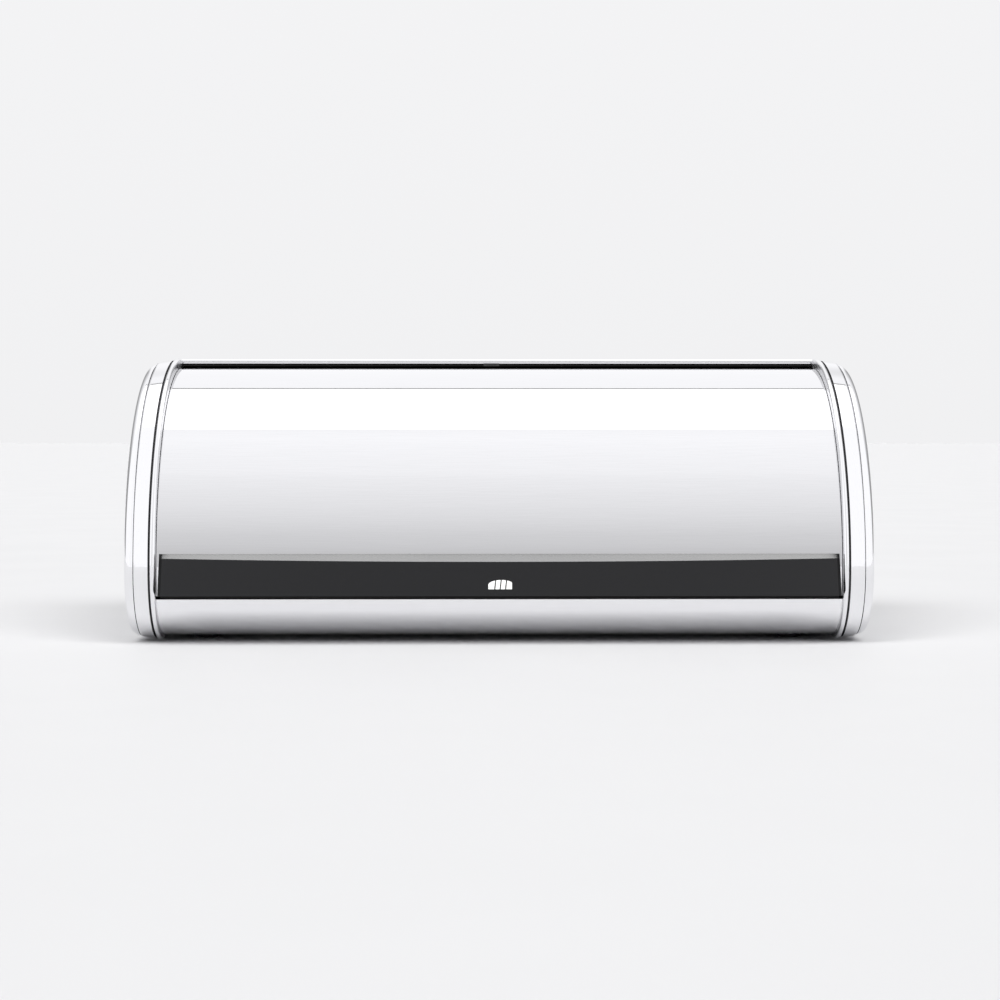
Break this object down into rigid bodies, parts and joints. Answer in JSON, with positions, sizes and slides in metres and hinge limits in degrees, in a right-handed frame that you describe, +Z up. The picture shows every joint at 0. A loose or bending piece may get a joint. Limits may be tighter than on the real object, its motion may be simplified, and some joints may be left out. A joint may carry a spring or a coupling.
{
  "type": "bread bin",
  "caption": "Bread bin of polished stainless sheet with a curved lid that rolls up and back about an axle, a full-width black handle and stepped, rounded end caps.",
  "frame": {"origin": "on the surface that the feet stand on, in the middle of the bin's width and depth", "axes": "+X along the bin to the viewer's right, +Y from the front to the back, +Z up"},
  "size_m": [0.445, 0.262, 0.174],
  "materials": {
    "polished_steel": "polished",
    "black_moulding": "satin",
    "black_handle": "satin",
    "grey_clip": "satin",
    "rubber": "matte",
    "plated_screw": "satin",
    "turned_steel": "satin",
    "acetal": "satin"
  },
  "bodies": {
    "housing": {"body_shell": "polished_steel", "shell_screws": "plated_screw", "top_edge_strip": "black_moulding", "centre_clip": "grey_clip", "side_panel_left": "black_moulding", "side_panel_right": "black_moulding", "trim_bead_left": "polished_steel", "trim_bead_right": "polished_steel", "cap_carrier_left": "black_moulding", "cap_carrier_right": "black_moulding", "carrier_screws": "plated_screw", "end_cover_left": "polished_steel", "end_cover_right": "polished_steel", "pivot_pin_left": "turned_steel", "pivot_pin_right": "turned_steel", "retaining_clip_left": "plated_screw", "retaining_clip_right": "plated_screw", "stop_buffers": "rubber", "foot_pads": "rubber"},
    "lid": {"lid_panel": "polished_steel", "lid_arm_left": "black_moulding", "lid_arm_right": "black_moulding", "pivot_bush_left": "acetal", "pivot_bush_right": "acetal", "handle": "black_handle", "handle_screws": "plated_screw", "rear_edge_strip": "black_moulding", "rear_strip_rivets": "turned_steel", "arm_rivets": "turned_steel"}
  },
  "joints": [
    {"name": "lid_roll", "type": "hinge", "parent": "housing", "child": "lid", "pos_m": [0, 0.0045, 0.043], "axis": [-1, 0, 0], "range_deg": [0, 76]}
  ]
}
